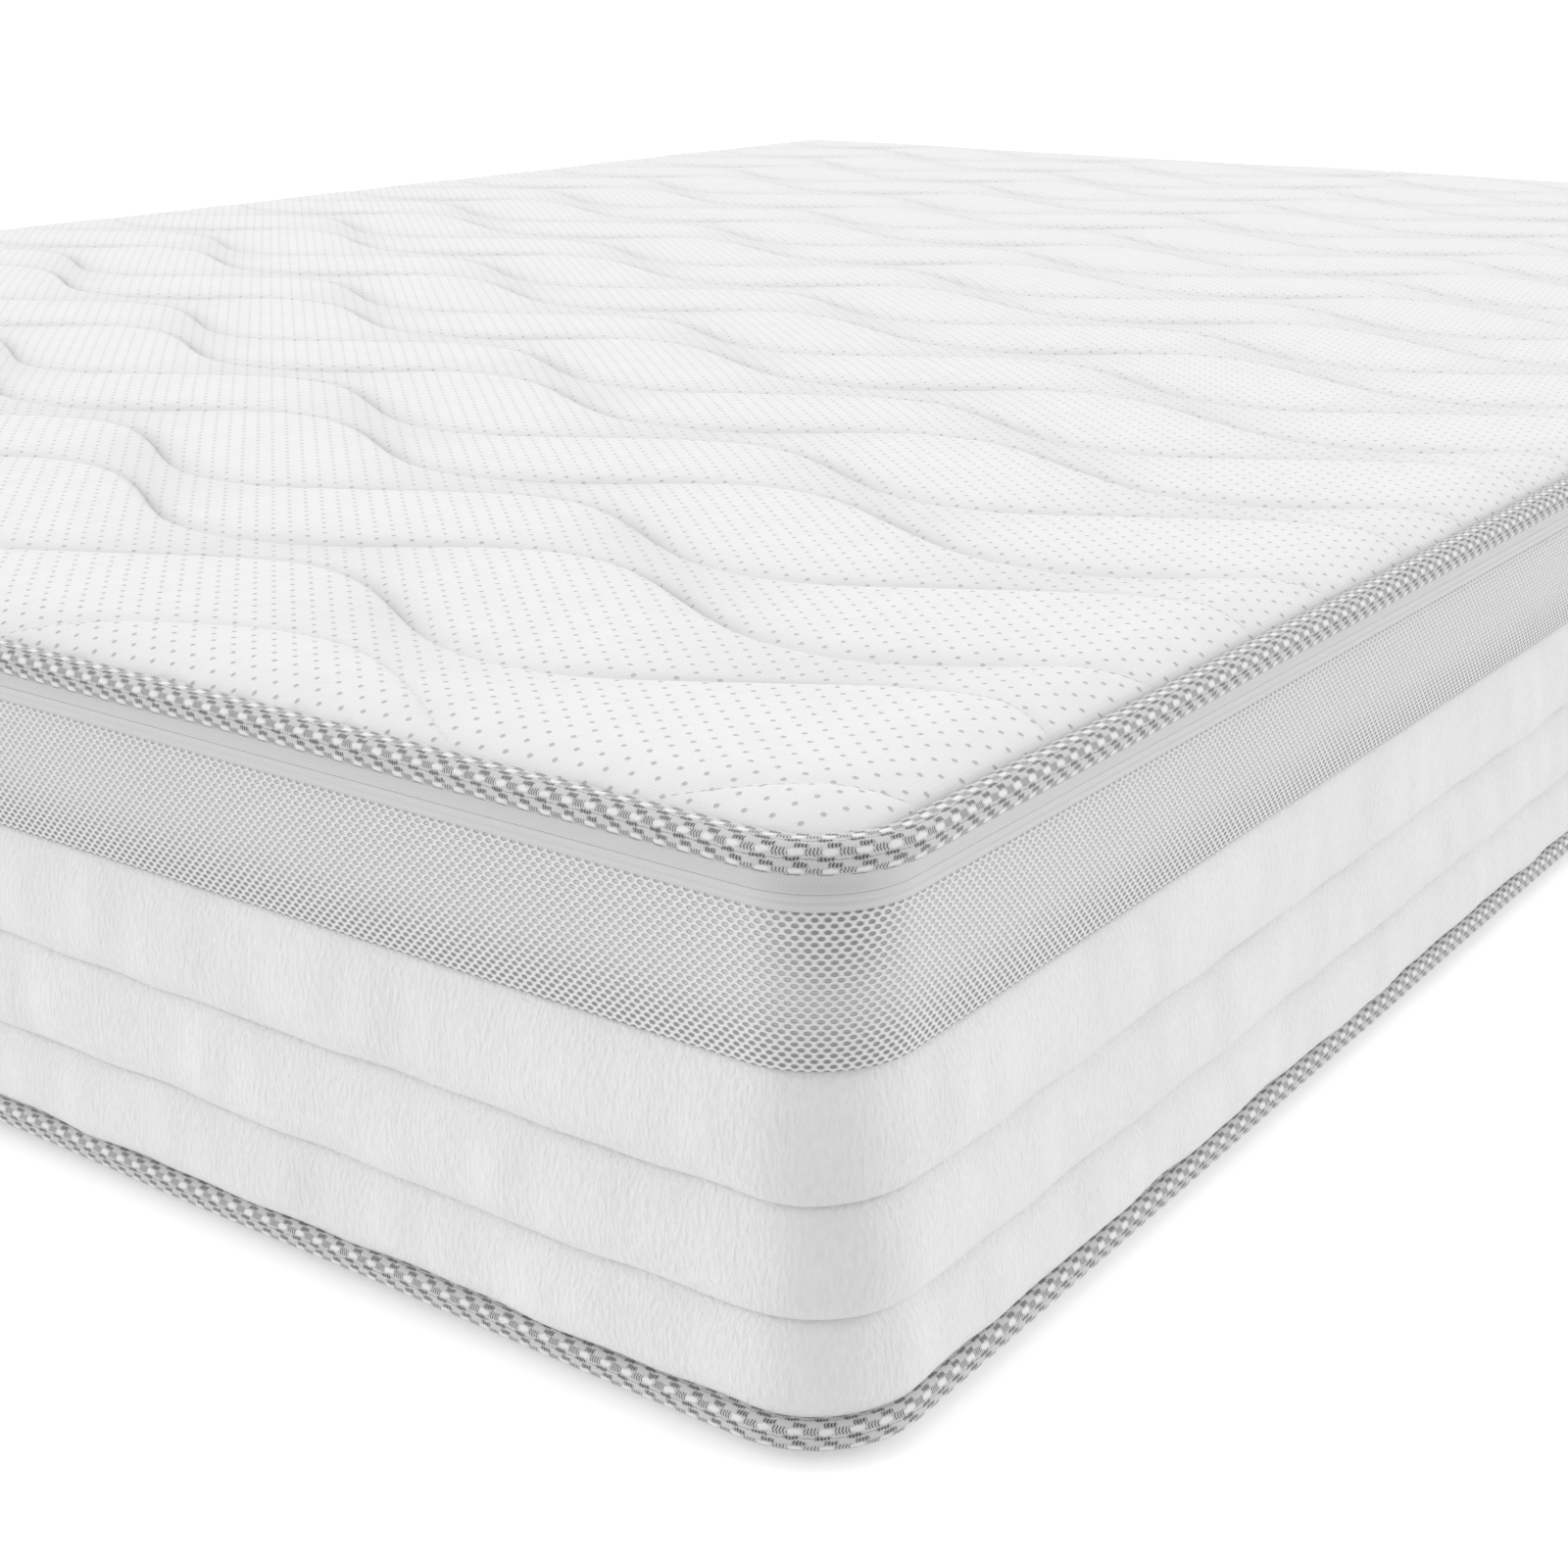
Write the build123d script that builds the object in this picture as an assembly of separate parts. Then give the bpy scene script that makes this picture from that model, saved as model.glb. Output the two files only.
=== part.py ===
"""Double memory foam mattress: a layered foam core in a knitted sleeve, inside a two-part
sewn cover whose quilted top zips off. Millimetres, +Z up, head end at +Y, origin on the
floor at the centre of the underside."""

import os

from build123d import *

# Driving dimensions
WIDTH = 1350.0  # between the two long mesh faces
LENGTH = 1900.0  # between the two short mesh faces
THICKNESS = 200.0  # floor to the quilted crown
CORNER_R = 34.0  # upright corner of the mesh face, seen from above

# Heights of the seams above the floor
TAPE_LOW = (4.5, 15.0)  # rolled edge tape round the underside
CHANNEL_SEAMS = (15.0, 46.0, 83.0, 125.0)  # three quilted channels lie between these
MESH_TOP = 172.4
ZIP_GAP = (176.6, 177.4)  # the two zip tapes meet here
TAPE_TOP = (183.0, 193.6)  # rolled edge tape round the sleep surface

# Depths, measured inwards from the mesh face; a minus sign stands proud of it
TAPE_DEPTH = (-5.0, 7.2)
TAPE_ROUND = (5.0, 1.5)  # corner radii of the roll, outside and inside
CHANNEL_BULGE = -5.0
CHANNEL_SEAM_IN = 1.5
VELOUR_THICK = 1.2
MESH_DEPTH = (0.0, 4.0)
WADDING_IN = 6.5
BACKING_DEPTH = (6.5, 7.1)
BACKING_TOP = 164.6
ZIP_DEPTH = (0.8, 4.6)  # folded front of a zip tape to the back of its tail
ZIP_TAIL = (4.0, 165.0)  # depth of the tail's front, and its lowest point
COIL_DEPTH = (4.6, 6.2)
COIL_HIGH = 2.0
THREAD = 0.6

# Rims of the base cloth and of the top panel, inside the edge tapes
RIM_DEPTH = 7.4

# Core, from the underside up
BASE_CLOTH = 1.6
BASE_RIM = (0.6, 6.0)  # thickness and height of its turned-up rim
SLEEVE_LOW = 1.9
SLEEVE_IN, SLEEVE_THICK = 8.2, 0.8
FOAM_LAYERS = {"base_foam": 125.0, "comfort_foam": 25.0, "memory_foam": 29.9}

# Quilted top panel
PANEL_LOW = 184.0
BACKING_THICK = 0.6
KNIT_THICK = 1.2
TOP_EDGE_R = 6.0

# Zip slider, parked near one end of the head-end face
SLIDER_X = -560.0
SLIDER_LONG = 14.0
SLIDER_FRONT = (-1.6, 0.5, 174.5, 181.2)  # depth from, depth to, lowest, highest
SLIDER_BACK = (6.4, 7.0, 175.0, 179.0)
NECK_LONG, NECK_HIGH = 6.0, 0.3
PIVOT_DEPTH, PIVOT_Z = -3.4, 178.6
PIN_R, BORE_R, BARREL_R = 0.7, 0.76, 1.5
LUG = (2.2, 3.2, 1.4)  # inner face and outer face from the slider's middle, and radius
PULL_LONG, PULL_THICK, PULL_WIDE, PULL_HOLE_R = 24.0, 1.2, 6.0, 1.5
STOP_LONG, STOP_THICK, STOP_GAP = 3.0, 0.6, 0.3

# Care label, sewn into the seam under the mesh on the head-end face
LABEL_X, LABEL_WIDE, LABEL_THICK = 430.0, 55.0, 0.4
LABEL_LOW, LABEL_TURN, LABEL_DEPTH = 62.0, 117.0, -5.9


def outline(depth):
    """Rounded plan outline at that depth."""
    return RectangleRounded(WIDTH - 2 * depth, LENGTH - 2 * depth, CORNER_R - depth)


def slab(low, high, depth):
    """Full slab of the mattress plan between two heights."""
    return extrude(Pos(0, 0, low) * outline(depth), high - low)


def ring(section):
    """Closed ring round the mattress; the section is drawn as (depth, height)."""
    side = Plane(origin=(0, -LENGTH / 2, 0), x_dir=(0, 1, 0), z_dir=(1, 0, 0))
    return sweep(side * section, path=outline(0).wire(), transition=Transition.RIGHT)


def block(depth, height):
    """Rectangular ring section between two depths and two heights."""
    centre = Pos(sum(depth) / 2, sum(height) / 2)
    return centre * Rectangle(depth[1] - depth[0], height[1] - height[0])


def head_box(x, depth, height):
    """Box on the head-end face between two x, two depths and two heights."""
    size = (x[1] - x[0], depth[1] - depth[0], height[1] - height[0])
    centre = Pos(sum(x) / 2, LENGTH / 2 - sum(depth) / 2, sum(height) / 2)
    return centre * Box(*size)


def edge_roll(height):
    """Edge tape rolled over the layers that it binds, round outside and tight inside."""
    section = block(TAPE_DEPTH, height)
    corners = section.vertices().sort_by(Axis.X)
    section = fillet(corners[:2], TAPE_ROUND[0])
    corners = section.vertices().sort_by(Axis.X)
    return ring(fillet(corners[-2:], TAPE_ROUND[1]))


def channel_face(offset):
    """Outer line of the three quilted channels, moved inwards by an offset."""
    arcs = []
    for low, high in zip(CHANNEL_SEAMS, CHANNEL_SEAMS[1:]):
        seam = CHANNEL_SEAM_IN + offset
        crown = (CHANNEL_BULGE + offset, (low + high) / 2)
        arcs.append(ThreePointArc((seam, low), crown, (seam, high)))
    return arcs


def channel_section(outer, inner_edges, inner_depth):
    """Section between the channels' outer line and an inner line at inner_depth."""
    low, high = CHANNEL_SEAMS[0], CHANNEL_SEAMS[-1]
    seam = CHANNEL_SEAM_IN + outer
    ends = [Line((seam, z), (inner_depth, z)) for z in (low, high)]
    return make_face(channel_face(outer) + inner_edges + ends)


def border_velour():
    """Velour face of the quilted border."""
    inner = channel_face(VELOUR_THICK)
    return ring(channel_section(0.0, inner, CHANNEL_SEAM_IN + VELOUR_THICK))


def border_wadding():
    """Fibre wadding behind the velour, pinched at the two quilting seams."""
    low, high = CHANNEL_SEAMS[0], CHANNEL_SEAMS[-1]
    back = [Line((WADDING_IN, low), (WADDING_IN, high))]
    quilted = ring(channel_section(VELOUR_THICK, back, WADDING_IN))
    behind_mesh = ring(block((MESH_DEPTH[1], WADDING_IN), (high, BACKING_TOP)))
    return quilted + behind_mesh


def seam_threads():
    """Quilting thread lying in the two border seams."""
    depth = (CHANNEL_SEAM_IN - THREAD, CHANNEL_SEAM_IN)
    seams = [(z - THREAD / 2, z + THREAD / 2) for z in CHANNEL_SEAMS[1:-1]]
    face = border_velour()
    return Compound(children=[ring(block(depth, height)) - face for height in seams])


def zip_tape_lower():
    """Lower zip tape: a fold that hides the coil, and a tail sewn behind the mesh."""
    front, back = ZIP_DEPTH
    fold = ring(block((front, back), (MESH_TOP, ZIP_GAP[0])))
    tail = ring(block((ZIP_TAIL[0], back), (ZIP_TAIL[1], MESH_TOP)))
    return fold + tail


def zip_tape_upper():
    """Upper zip tape, sewn under the top edge tape."""
    return ring(block(ZIP_DEPTH, (ZIP_GAP[1], TAPE_TOP[0])))


def bottom_panel():
    """Base cloth, with its rim turned up inside the lower edge tape."""
    thick, high = BASE_RIM
    rim = ring(block((RIM_DEPTH, RIM_DEPTH + thick), (0, high)))
    return slab(0, BASE_CLOTH, RIM_DEPTH) + rim


def sleeve_and_foam():
    """Knitted inner sleeve, and the foam layers glued inside it."""
    parts = {}
    low = SLEEVE_LOW + SLEEVE_THICK
    top = low
    for name, thick in FOAM_LAYERS.items():
        parts[name] = slab(top, top + thick, SLEEVE_IN + SLEEVE_THICK)
        top += thick
    outer = slab(SLEEVE_LOW, top + SLEEVE_THICK, SLEEVE_IN)
    parts["inner_sleeve"] = outer - slab(low, top, SLEEVE_IN + SLEEVE_THICK)
    return parts


def rounded_slab(low, high, depth, radius):
    """Slab of the mattress plan whose upper edge is rounded off."""
    body = slab(low, high, depth)
    rim = body.faces().sort_by(Axis.Z)[-1].edges()
    return fillet(rim, radius)


def top_panel():
    """Knitted face, fibre wadding and backing of the zip-off quilted top."""
    low = PANEL_LOW + BACKING_THICK
    cover = rounded_slab(low, THICKNESS, RIM_DEPTH, TOP_EDGE_R)
    fill_high = THICKNESS - KNIT_THICK
    fill = rounded_slab(low, fill_high, RIM_DEPTH + KNIT_THICK, TOP_EDGE_R - KNIT_THICK)
    return {
        "top_knit": cover - fill,
        "top_wadding": fill,
        "top_backing": slab(PANEL_LOW, low, RIM_DEPTH),
    }


def pivot(x):
    """Cylinder placement along X at the pull's pivot."""
    return Pos(x, LENGTH / 2 - PIVOT_DEPTH, PIVOT_Z) * Rot(0, 90, 0)


def zip_slider():
    """Slider: front plate, thin neck between the tapes, back plate, lugs and pin."""
    half = SLIDER_LONG / 2
    x = (SLIDER_X - half, SLIDER_X + half)
    front = head_box(x, SLIDER_FRONT[:2], SLIDER_FRONT[2:])
    front = fillet(front.edges().filter_by(Axis.Y), 2.0)
    back = head_box(x, SLIDER_BACK[:2], SLIDER_BACK[2:])
    neck_x = (SLIDER_X - NECK_LONG / 2, SLIDER_X + NECK_LONG / 2)
    middle = sum(ZIP_GAP) / 2
    neck_z = (middle - NECK_HIGH / 2, middle + NECK_HIGH / 2)
    neck = head_box(neck_x, (SLIDER_FRONT[1], SLIDER_BACK[0]), neck_z)
    body = front + neck + back
    inner, outer, radius = LUG
    for side in (-1, 1):
        lug_x = sorted((SLIDER_X + side * inner, SLIDER_X + side * outer))
        eye = pivot(sum(lug_x) / 2) * Cylinder(radius, outer - inner)
        web_z = (PIVOT_Z - radius, PIVOT_Z + radius)
        web = head_box(lug_x, (PIVOT_DEPTH, SLIDER_FRONT[0]), web_z)
        body = body + eye + web
    return body + pivot(SLIDER_X) * Cylinder(PIN_R, 2 * inner + 0.4)


def zip_pull():
    """Pull tab hanging from the slider's pin."""
    eye_half = LUG[0] - 0.2
    eye = pivot(SLIDER_X) * Cylinder(BARREL_R, 2 * eye_half)
    bottom = PIVOT_Z - PULL_LONG
    depth = (PIVOT_DEPTH - PULL_THICK / 2, PIVOT_DEPTH + PULL_THICK / 2)
    neck = head_box((SLIDER_X - eye_half, SLIDER_X + eye_half), depth, (bottom + 12, PIVOT_Z))
    half = PULL_WIDE / 2
    tab = head_box((SLIDER_X - half, SLIDER_X + half), depth, (bottom, bottom + 14))
    tab = fillet(tab.edges().filter_by(Axis.Y), 1.8)
    hole_at = Pos(SLIDER_X, LENGTH / 2 - PIVOT_DEPTH, bottom + 4) * Rot(90, 0, 0)
    hole = hole_at * Cylinder(PULL_HOLE_R, 2 * PULL_THICK)
    bore = pivot(SLIDER_X) * Cylinder(BORE_R, 4 * eye_half)
    return eye + neck + tab - hole - bore


def zip_stop(place):
    """Crimped stop on the front of the lower tape, counted outwards from the slider."""
    near = SLIDER_X - SLIDER_LONG / 2 - STOP_GAP - place * (STOP_LONG + 2.0)
    depth = (ZIP_DEPTH[0] - STOP_THICK, ZIP_DEPTH[0])
    return head_box((near - STOP_LONG, near), depth, (SLIDER_FRONT[2], ZIP_GAP[0]))


def care_label():
    """Blank woven label that comes out of the seam and hangs over the channel."""
    seam_z = CHANNEL_SEAMS[-1]
    line = [(-0.2, seam_z - 0.6), (LABEL_DEPTH, LABEL_TURN), (LABEL_DEPTH, LABEL_LOW)]
    back = [(d + LABEL_THICK, z) for d, z in reversed(line)]
    side = Plane(origin=(0, LENGTH / 2, 0), x_dir=(0, -1, 0), z_dir=(-1, 0, 0))
    profile = side * make_face(Polyline(line + back, close=True))
    strip = extrude(profile, LABEL_WIDE / 2, both=True)
    return Pos(LABEL_X, 0, 0) * strip


def mattress():
    """Every node by name, from the underside up."""
    parts = {
        "bottom_panel": bottom_panel(),
        "bottom_tape": edge_roll(TAPE_LOW),
        "border_velour": border_velour(),
        "border_wadding": border_wadding(),
        "border_backing": ring(block(BACKING_DEPTH, (TAPE_LOW[1], BACKING_TOP))),
        "seam_threads": seam_threads(),
        "mesh_border": ring(block(MESH_DEPTH, (CHANNEL_SEAMS[-1], MESH_TOP))),
        "care_label": care_label(),
        "zip_tape_lower": zip_tape_lower(),
        "zip_coil_lower": ring(block(COIL_DEPTH, (ZIP_GAP[0] - COIL_HIGH, ZIP_GAP[0]))),
        "zip_stop_start": zip_stop(0),
        "zip_stop_end": zip_stop(1),
        "zip_slider_body": zip_slider(),
        "zip_pull_tab": zip_pull(),
        "zip_tape_upper": zip_tape_upper(),
        "zip_coil_upper": ring(block(COIL_DEPTH, (ZIP_GAP[1], ZIP_GAP[1] + COIL_HIGH))),
        "top_tape": edge_roll(TAPE_TOP),
    }
    parts.update(sleeve_and_foam())
    parts.update(top_panel())
    return parts


os.makedirs("parts", exist_ok=True)
for node, shape in mattress().items():
    export_step(shape, f"parts/{node}.step")
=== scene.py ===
import math

import bpy
import numpy as np
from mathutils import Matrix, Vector


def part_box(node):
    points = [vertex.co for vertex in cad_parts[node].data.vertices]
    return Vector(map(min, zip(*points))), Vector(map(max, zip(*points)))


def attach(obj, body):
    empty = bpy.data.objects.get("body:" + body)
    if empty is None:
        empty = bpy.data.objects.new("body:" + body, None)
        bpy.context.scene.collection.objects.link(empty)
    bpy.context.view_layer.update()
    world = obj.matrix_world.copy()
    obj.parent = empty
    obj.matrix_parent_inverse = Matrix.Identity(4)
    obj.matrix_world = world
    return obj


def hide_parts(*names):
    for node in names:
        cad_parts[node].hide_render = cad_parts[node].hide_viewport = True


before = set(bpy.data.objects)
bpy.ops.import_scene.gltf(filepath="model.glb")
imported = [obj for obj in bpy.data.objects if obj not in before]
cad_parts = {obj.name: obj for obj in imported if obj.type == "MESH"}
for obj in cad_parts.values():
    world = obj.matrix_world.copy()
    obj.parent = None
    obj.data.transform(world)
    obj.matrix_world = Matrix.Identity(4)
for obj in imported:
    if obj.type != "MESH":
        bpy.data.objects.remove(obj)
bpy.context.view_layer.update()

# --- Base cloth -------------------------------------------------------------------------
# The underside is one panel of plain woven polyester, grey so that marks don't show. Its
# rim turns up all round and is caught in the lower edge tape.

MM = 0.001
TURN = 2 * math.pi
mesh_low, mesh_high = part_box("mesh_border")
HALF_X, HALF_Y = mesh_high.x, mesh_high.y
CORNER_R = 34 * MM


def linear(code):
    """Linear colour of an sRGB hex value, with alpha."""
    parts = [int(code[i : i + 2], 16) / 255 for i in (0, 2, 4)]
    return [c / 12.92 if c <= 0.04045 else ((c + 0.055) / 1.055) ** 2.4 for c in parts] + [1]


def add(tree, kind, links=None, out=None, **settings):
    """Adds a node with its settings, fills its inputs, and gives back the output in use."""
    node = tree.nodes.new("ShaderNode" + kind)
    for key, value in settings.items():
        setattr(node, key, value)
    for key, value in (links or {}).items():
        if isinstance(value, bpy.types.NodeSocket):
            tree.links.new(value, node.inputs[key])
        else:
            node.inputs[key].default_value = value
    return node.outputs[out] if out else next(o for o in node.outputs if o.enabled)


def finish(name, look, **sockets):
    """Material of one finish; look(tree) gives its colour and its relief in metres."""
    material = bpy.data.materials.new(name)
    material.use_nodes = True
    tree = material.node_tree
    tree.nodes.clear()
    colour, relief = look(tree)
    normal = add(tree, "Bump", {"Height": relief, "Distance": 1.0, "Strength": 1.0})
    links = {"Base Color": colour, "Normal": normal}
    links.update({key.replace("_", " "): value for key, value in sockets.items()})
    surface = add(tree, "BsdfPrincipled", links)
    out = tree.nodes.new("ShaderNodeOutputMaterial")
    tree.links.new(surface, out.inputs["Surface"])
    return material


def repeats(tree, pitch, shift=(0, 0), wobble=0.0):
    """Place within one repeat of a pattern of that pitch in metres, from 0 to 1 both ways.
    The wobble, in metres, is how far yarns stray from their even places."""
    cloth = add(tree, "UVMap", uv_map="cloth")
    if wobble:
        stray = add(tree, "TexNoise", {"Vector": cloth, "Scale": 0.7 / MM, "Detail": 1.0}, out="Color")
        stray = add(tree, "VectorMath", {0: stray, 1: (-0.5, -0.5, 0)}, operation="ADD")
        links = {0: stray, 1: (wobble, wobble, 0), 2: cloth}
        cloth = add(tree, "VectorMath", links, operation="MULTIPLY_ADD")
    scale = (1 / pitch[0], 1 / pitch[1], 1)
    moved = add(tree, "Mapping", {"Vector": cloth, "Scale": scale, "Location": (*shift, 0)})
    return add(tree, "VectorMath", {0: moved}, operation="FRACTION")


def spot(tree, cell, centre, half, soft):
    """Soft oval in a repeat: 1 inside, 0 outside. centre and half are shares of the repeat."""
    away = add(tree, "VectorMath", {0: cell, 1: (*centre, 0)}, operation="SUBTRACT")
    flat = add(tree, "VectorMath", {0: away, 1: (1, 1, 0)}, operation="MULTIPLY")
    sized = add(tree, "VectorMath", {0: flat, 1: (*half, 1)}, operation="DIVIDE")
    reach = add(tree, "VectorMath", {0: sized}, operation="LENGTH")
    ends = {0: reach, 1: 1 - soft, 2: 1 + soft, 3: 1.0, 4: 0.0}
    return add(tree, "MapRange", ends, interpolation_type="SMOOTHSTEP")


def grain(tree, size, stretch=(1, 1, 1), detail=3.0):
    """Noise with grains of about that size in metres, in the piece's own space."""
    place_in = add(tree, "TexCoord", out="Object")
    scaled = add(tree, "VectorMath", {0: place_in, 1: stretch}, operation="MULTIPLY")
    return add(tree, "TexNoise", {"Vector": scaled, "Scale": 0.5 / size, "Detail": detail})


def piece(name, points, faces, uv, material, crease=50):
    """Mesh object, with cloth coordinates in metres at each corner of each face."""
    mesh = bpy.data.meshes.new(name)
    mesh.from_pydata(points.tolist(), [], faces.tolist())
    layer = mesh.uv_layers.new(name="cloth")
    layer.data.foreach_set("uv", uv.reshape(-1).astype(np.float32))
    mesh.shade_smooth()
    mesh.set_sharp_from_angle(angle=math.radians(crease))
    mesh.materials.append(material)
    made = bpy.data.objects.new(name, mesh)
    bpy.context.scene.collection.objects.link(made)
    return made


def place(made, body, slot, *nodes):
    """Puts a finished piece on its body and in place of its plain CAD nodes; the slot is not used."""
    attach(made, body)
    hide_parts(*nodes)
    return made


def inside(x, y, depth):
    """Points moved onto the plan outline at that depth where they lie outside it, and how
    far inside it each one is."""
    radius = max(CORNER_R - depth, 1 * MM)
    sides = (HALF_X - depth - radius, HALF_Y - depth - radius)
    qx, qy = np.abs(x) - sides[0], np.abs(y) - sides[1]
    reach = np.hypot(np.maximum(qx, 0), np.maximum(qy, 0))
    room = radius - reach + np.minimum(np.maximum(qx, qy), 0) * -1
    pull = np.where(reach > radius, radius / np.maximum(reach, 1e-9), 1)
    px = np.where(qx > 0, sides[0] + qx * pull, np.abs(x))
    py = np.where(qy > 0, sides[1] + qy * pull, np.abs(y))
    return np.sign(x) * px, np.sign(y) * py, room


def with_back(quads, count):
    """Faces of a closed sheet: the front's, the same turned over on the points that many
    further on, and a wall round the rim."""
    edges = np.stack([quads, np.roll(quads, -1, axis=1)], -1).reshape(-1, 2)
    key = edges[:, 0] * count + edges[:, 1]
    rim = edges[~np.isin(key, edges[:, 1] * count + edges[:, 0])]
    wall = np.stack([rim[:, 1], rim[:, 0], rim[:, 0] + count, rim[:, 1] + count], 1)
    return np.concatenate([quads, quads[:, ::-1] + count, wall])


def panel(name, x, y, depth, top, bottom, material, crease=50):
    """Closed panel of the mattress plan. x and y are a grid that reaches past the outline at
    that depth; top and bottom give the height at x, y and the room to the rim."""
    rows, columns = x.shape
    px, py, room = (v.reshape(-1) for v in inside(x, y, depth))
    a = (np.arange(rows - 1)[:, None] * columns + np.arange(columns - 1)).reshape(-1)
    quads = np.stack([a, a + 1, a + columns + 1, a + columns], 1)
    quads = quads[(room[quads] > 0).any(1)]
    used, quads = np.unique(quads, return_inverse=True)
    quads = quads.reshape(-1, 4)
    px, py, room = px[used], py[used], np.maximum(room[used], 0)
    faces = with_back(quads, len(used))
    upper = np.stack([px, py, top(px, py, room)], 1)
    lower = np.stack([px, py, bottom(px, py, room)], 1)
    points = np.concatenate([upper, lower])
    return piece(name, points, faces, points[faces][:, :, :2], material, crease)


def grid(step):
    """Even grid of about that step that reaches just past the plan outline."""
    nx, ny = (2 * math.ceil(half / step) + 1 for half in (HALF_X, HALF_Y))
    x = np.linspace(-HALF_X - step, HALF_X + step, nx)
    y = np.linspace(-HALF_Y - step, HALF_Y + step, ny)
    return np.meshgrid(x, y)


def woven_look(tree):
    # Plain weave of 0.9 mm threads: over one, under one, so each repeat has two humps
    threads = repeats(tree, (1.8 * MM, 1.8 * MM))
    over = spot(tree, threads, (0.25, 0.25), (0.3, 0.2), 0.6)
    under = spot(tree, threads, (0.75, 0.75), (0.2, 0.3), 0.6)
    hump = add(tree, "Math", {0: over, 1: under}, operation="MAXIMUM")
    height = add(tree, "Math", {0: hump, 1: 0.12 * MM}, operation="MULTIPLY")
    # Painted shade: darker grey in the gaps between the humps
    colour = add(tree, "Mix", {0: hump, 6: linear("6b6b6b"), 7: linear("858585")}, data_type="RGBA")
    return colour, height


# Woven polyester, dyed mid grey and matt: the threads give a fine even grid
woven_base = finish("woven_base_cloth", woven_look, Roughness=0.85, Sheen_Weight=0.1)
base_low, base_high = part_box("bottom_panel")
RIM_DEPTH, RIM_BEND = 2.5 * MM, 4 * MM


def base_under(x, y, room):
    """Flat on the floor, then turned up into the tape in a tight bend."""
    bend = np.clip(1 - room / RIM_BEND, 0, 1)
    return base_low.z + (base_high.z - 1 * MM) * (1 - np.sqrt(1 - bend**2))


def base_over(x, y, room):
    return base_under(x, y, room) + 1.0 * MM


base_cloth = panel("base_cloth", *grid(8 * MM), RIM_DEPTH, base_over, base_under, woven_base)
place(base_cloth, "base", "base_cloth", "bottom_panel")

# --- Lower edge tape --------------------------------------------------------------------
# Jacquard webbing in white and grey polyester, about 30 mm wide, folded over the cut edges
# of the border and the base cloth and sewn through, so that it stands proud as a firm roll.


def ripple(share, seed, waves, height):
    """Seeded unevenness round the mattress; whole numbers of waves, so that a ring closes."""
    pick = np.random.default_rng(seed)
    total = np.zeros_like(share)
    for wave in waves:
        total = total + np.sin(TURN * wave * share + pick.uniform(0, TURN)) * pick.uniform(0.6, 1)
    return height * total / math.sqrt(len(waves))


def stations(step):
    """Places round the mesh face about that far apart: x, y, outward normal, distance run."""
    found = []
    corners = np.array([(1, -1), (1, 1), (-1, 1), (-1, -1)])
    reach = np.array([HALF_X - CORNER_R, HALF_Y - CORNER_R])
    for side in range(4):
        start, end = corners[side - 1] * reach, corners[side] * reach
        facing = (side - 1) * TURN / 4
        out = np.array([math.cos(facing), math.sin(facing)])
        count = round(np.linalg.norm(end - start) / step)
        for t in np.arange(count) / count:
            found.append([*(start + (end - start) * t + out * CORNER_R), *out])
        count = max(14, round(CORNER_R * TURN / 4 / step))
        for a in facing + np.arange(count) / count * TURN / 4:
            out = np.array([math.cos(a), math.sin(a)])
            found.append([*(end + out * CORNER_R), *out])
    x, y, nx, ny = np.array(found).T
    run = np.hypot(np.roll(x, -1) - x, np.roll(y, -1) - y)
    return x, y, nx, ny, np.concatenate([[0], np.cumsum(run)])


def ring(name, step, section, material, crease=50):
    """Closed ring: section(share of the way round) gives the depths and heights of one
    closed line of points at each station."""
    x, y, nx, ny, run = stations(step)
    count = len(x)
    depth, height = np.broadcast_arrays(*section(run[:count, None] / run[-1]))
    sides = [x[:, None] - nx[:, None] * depth, y[:, None] - ny[:, None] * depth, height]
    rows = depth.shape[1]
    girth = np.hypot(np.roll(depth, -1, 1) - depth, np.roll(height, -1, 1) - height)
    across = np.concatenate([[0], np.cumsum(girth.mean(0))])
    i, j = (v.reshape(-1) for v in np.meshgrid(np.arange(count), np.arange(rows), indexing="ij"))
    i2, j2 = (i + 1) % count, (j + 1) % rows
    faces = np.stack([i * rows + j, i2 * rows + j, i2 * rows + j2, i * rows + j2], 1)
    corner_run = np.stack([run[i], run[i + 1], run[i + 1], run[i]], 1)
    corner_across = np.stack([across[j], across[j], across[j + 1], across[j + 1]], 1)
    uv = np.stack([corner_run, corner_across], -1)
    return piece(name, np.stack(sides, -1).reshape(-1, 3), faces, uv, material, crease)


GIRTH = stations(2 * MM)[4][-1]
CORNER_RUN = CORNER_R * TURN / 4


def tightness(share):
    """1 in the middle of each corner, falling to 0 along the flat sides."""
    half = GIRTH / 2
    run = share * GIRTH % half
    spots = (-CORNER_RUN / 2, 2 * (HALF_X - CORNER_R) + CORNER_RUN / 2, half - CORNER_RUN / 2)
    away = np.min([np.abs(run - spot_run) for spot_run in spots], axis=0)
    return np.exp(-((away / (45 * MM)) ** 2))


def whole(pitch):
    """The pitch nearest to that one that fits a whole number of times round the mattress."""
    return GIRTH / round(GIRTH / pitch)


TAPE_REPEAT = (whole(8.2 * MM), 5.6 * MM)
TAPE_INNER = 7.2 * MM  # how far behind the mesh face the tape's inner edge lies
STROKE = 0.9 * MM  # real yarns lie 0.4 mm apart, which is too fine to show


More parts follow.
